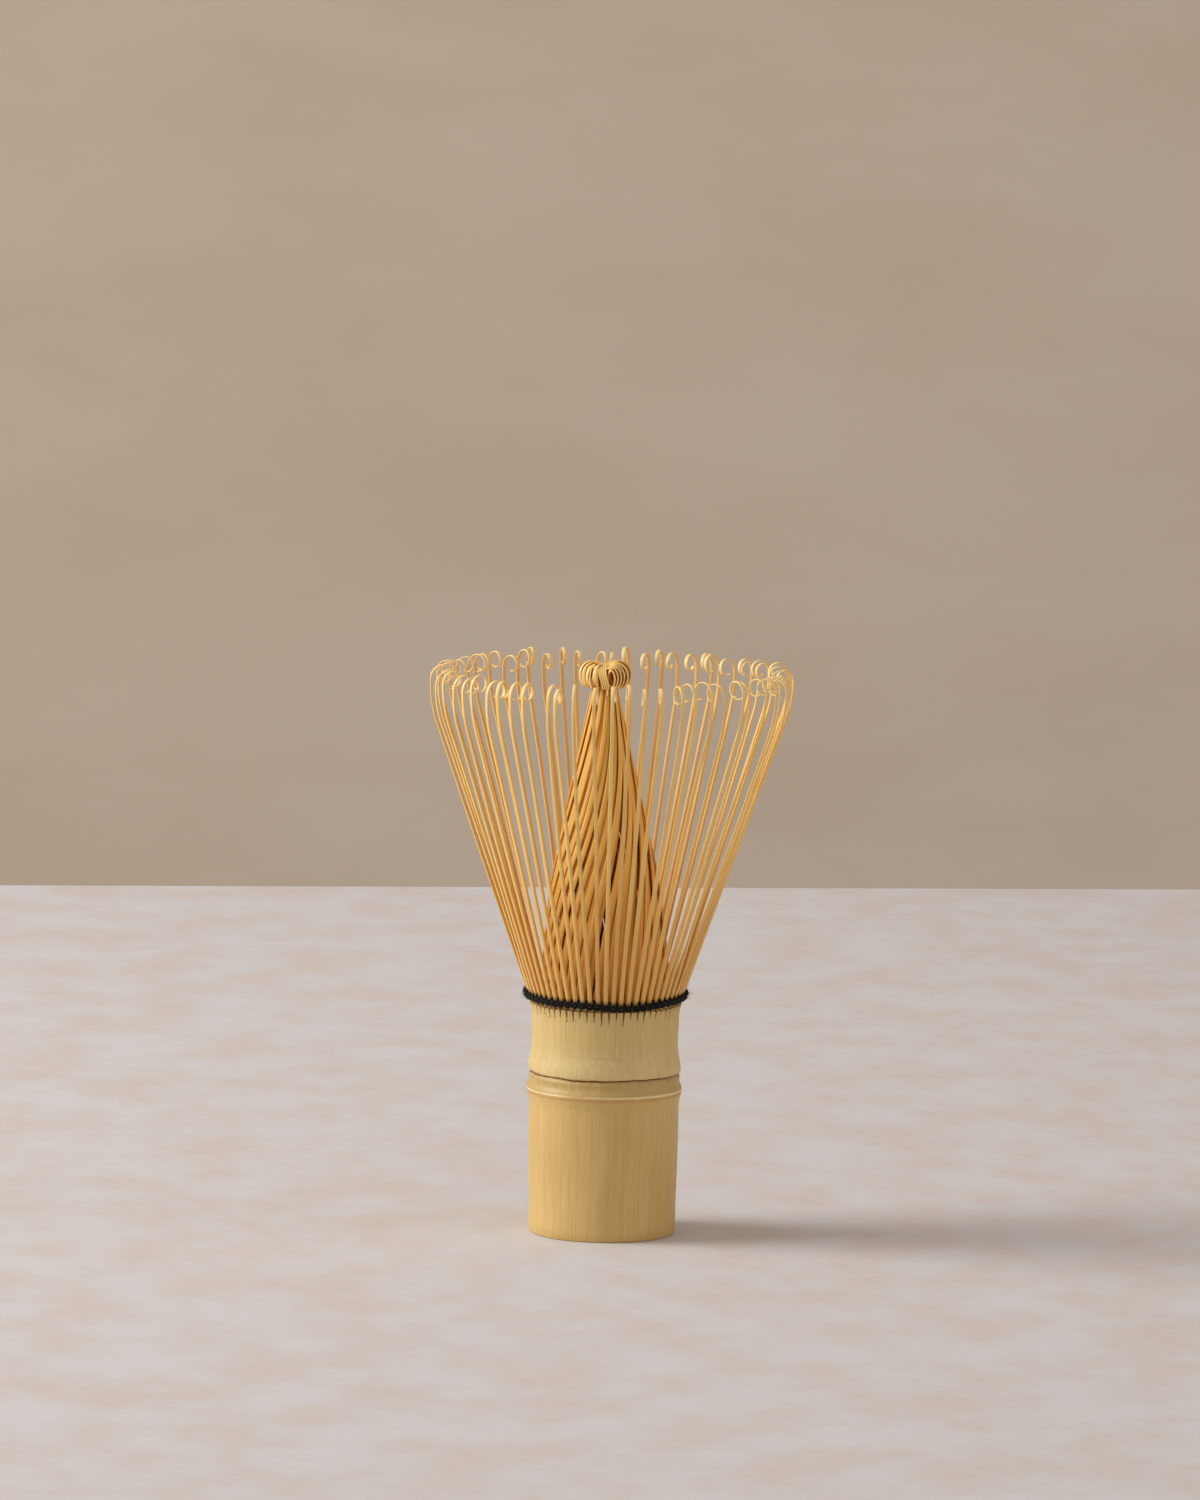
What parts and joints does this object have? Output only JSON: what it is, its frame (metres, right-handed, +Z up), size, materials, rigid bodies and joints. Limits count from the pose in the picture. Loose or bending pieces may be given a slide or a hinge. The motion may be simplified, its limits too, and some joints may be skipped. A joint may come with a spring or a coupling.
{
  "type": "tea whisk",
  "caption": "Bamboo tea whisk: tubular handle with a node, flared ring of curled outer tines bound with black thread, and a twisted inner cone ending in a rolled knot.",
  "frame": {"origin": "centre of the handle's cut end, on the handle's axis", "axes": "+Z up along the handle towards the brush, -Y towards the side where the binding sits lowest"},
  "size_m": [0.0638, 0.0643, 0.101],
  "materials": {
    "culm": "satin natural bamboo skin",
    "pith": "matte cut bamboo",
    "outer_tines": "satin split bamboo",
    "inner_tines": "satin split bamboo",
    "thread": "matte black cotton"
  },
  "bodies": {
    "handle": {"lower_culm": "culm", "upper_culm": "culm", "node_septum": "pith", "inner_splint_01": "inner_tines", "inner_splint_02": "inner_tines", "inner_splint_03": "inner_tines", "inner_splint_04": "inner_tines", "inner_splint_05": "inner_tines", "inner_splint_06": "inner_tines", "inner_splint_07": "inner_tines", "inner_splint_08": "inner_tines", "inner_splint_09": "inner_tines", "inner_splint_10": "inner_tines", "inner_splint_11": "inner_tines", "inner_splint_12": "inner_tines", "inner_splint_13": "inner_tines", "inner_splint_14": "inner_tines", "inner_splint_15": "inner_tines", "inner_splint_16": "inner_tines", "knot_rolls": "inner_tines", "knot_core": "inner_tines", "thread_upper_row": "thread", "thread_lower_row": "thread", "thread_inner_row": "thread", "thread_stitches": "thread", "thread_knot": "thread"},
    "outer_01": {"outer_splint_01": "outer_tines"},
    "outer_02": {"outer_splint_02": "outer_tines"},
    "outer_03": {"outer_splint_03": "outer_tines"},
    "outer_04": {"outer_splint_04": "outer_tines"},
    "outer_05": {"outer_splint_05": "outer_tines"},
    "outer_06": {"outer_splint_06": "outer_tines"},
    "outer_07": {"outer_splint_07": "outer_tines"},
    "outer_08": {"outer_splint_08": "outer_tines"},
    "outer_09": {"outer_splint_09": "outer_tines"},
    "outer_10": {"outer_splint_10": "outer_tines"},
    "outer_11": {"outer_splint_11": "outer_tines"},
    "outer_12": {"outer_splint_12": "outer_tines"},
    "outer_13": {"outer_splint_13": "outer_tines"},
    "outer_14": {"outer_splint_14": "outer_tines"},
    "outer_15": {"outer_splint_15": "outer_tines"},
    "outer_16": {"outer_splint_16": "outer_tines"}
  },
  "joints": [
    {"name": "outer_01_flex", "type": "hinge", "parent": "handle", "child": "outer_01", "pos_m": [0.0133, 0.00197, 0.04248], "axis": [-0.1467, 0.9892, 0], "range_deg": [-4, 6], "stiffness_Nm_per_rad": 0.012},
    {"name": "outer_02_flex", "type": "hinge", "parent": "handle", "child": "outer_02", "pos_m": [0.01154, 0.00692, 0.04268], "axis": [-0.5141, 0.8577, 0], "range_deg": [-4, 6], "stiffness_Nm_per_rad": 0.012},
    {"name": "outer_03_flex", "type": "hinge", "parent": "handle", "child": "outer_03", "pos_m": [0.00801, 0.0108, 0.04284], "axis": [-0.8032, 0.5957, 0], "range_deg": [-4, 6], "stiffness_Nm_per_rad": 0.012},
    {"name": "outer_04_flex", "type": "hinge", "parent": "handle", "child": "outer_04", "pos_m": [0.00327, 0.01305, 0.04293], "axis": [-0.97, 0.243, 0], "range_deg": [-4, 6], "stiffness_Nm_per_rad": 0.012},
    {"name": "outer_05_flex", "type": "hinge", "parent": "handle", "child": "outer_05", "pos_m": [-0.00197, 0.0133, 0.04294], "axis": [-0.9892, -0.1467, 0], "range_deg": [-4, 6], "stiffness_Nm_per_rad": 0.012},
    {"name": "outer_06_flex", "type": "hinge", "parent": "handle", "child": "outer_06", "pos_m": [-0.00692, 0.01154, 0.04287], "axis": [-0.8577, -0.5141, 0], "range_deg": [-4, 6], "stiffness_Nm_per_rad": 0.012},
    {"name": "outer_07_flex", "type": "hinge", "parent": "handle", "child": "outer_07", "pos_m": [-0.0108, 0.00801, 0.04273], "axis": [-0.5957, -0.8032, 0], "range_deg": [-4, 6], "stiffness_Nm_per_rad": 0.012},
    {"name": "outer_08_flex", "type": "hinge", "parent": "handle", "child": "outer_08", "pos_m": [-0.01305, 0.00327, 0.04253], "axis": [-0.243, -0.97, 0], "range_deg": [-4, 6], "stiffness_Nm_per_rad": 0.012},
    {"name": "outer_09_flex", "type": "hinge", "parent": "handle", "child": "outer_09", "pos_m": [-0.0133, -0.00197, 0.04232], "axis": [0.1467, -0.9892, 0], "range_deg": [-4, 6], "stiffness_Nm_per_rad": 0.012},
    {"name": "outer_10_flex", "type": "hinge", "parent": "handle", "child": "outer_10", "pos_m": [-0.01154, -0.00692, 0.04212], "axis": [0.5141, -0.8577, 0], "range_deg": [-4, 6], "stiffness_Nm_per_rad": 0.012},
    {"name": "outer_11_flex", "type": "hinge", "parent": "handle", "child": "outer_11", "pos_m": [-0.00801, -0.0108, 0.04196], "axis": [0.8032, -0.5957, 0], "range_deg": [-4, 6], "stiffness_Nm_per_rad": 0.012},
    {"name": "outer_12_flex", "type": "hinge", "parent": "handle", "child": "outer_12", "pos_m": [-0.00327, -0.01305, 0.04187], "axis": [0.97, -0.243, 0], "range_deg": [-4, 6], "stiffness_Nm_per_rad": 0.012},
    {"name": "outer_13_flex", "type": "hinge", "parent": "handle", "child": "outer_13", "pos_m": [0.00197, -0.0133, 0.04186], "axis": [0.9892, 0.1467, 0], "range_deg": [-4, 6], "stiffness_Nm_per_rad": 0.012},
    {"name": "outer_14_flex", "type": "hinge", "parent": "handle", "child": "outer_14", "pos_m": [0.00692, -0.01154, 0.04193], "axis": [0.8577, 0.5141, 0], "range_deg": [-4, 6], "stiffness_Nm_per_rad": 0.012},
    {"name": "outer_15_flex", "type": "hinge", "parent": "handle", "child": "outer_15", "pos_m": [0.0108, -0.00801, 0.04207], "axis": [0.5957, 0.8032, 0], "range_deg": [-4, 6], "stiffness_Nm_per_rad": 0.012},
    {"name": "outer_16_flex", "type": "hinge", "parent": "handle", "child": "outer_16", "pos_m": [0.01305, -0.00327, 0.04227], "axis": [0.243, 0.97, 0], "range_deg": [-4, 6], "stiffness_Nm_per_rad": 0.012}
  ]
}
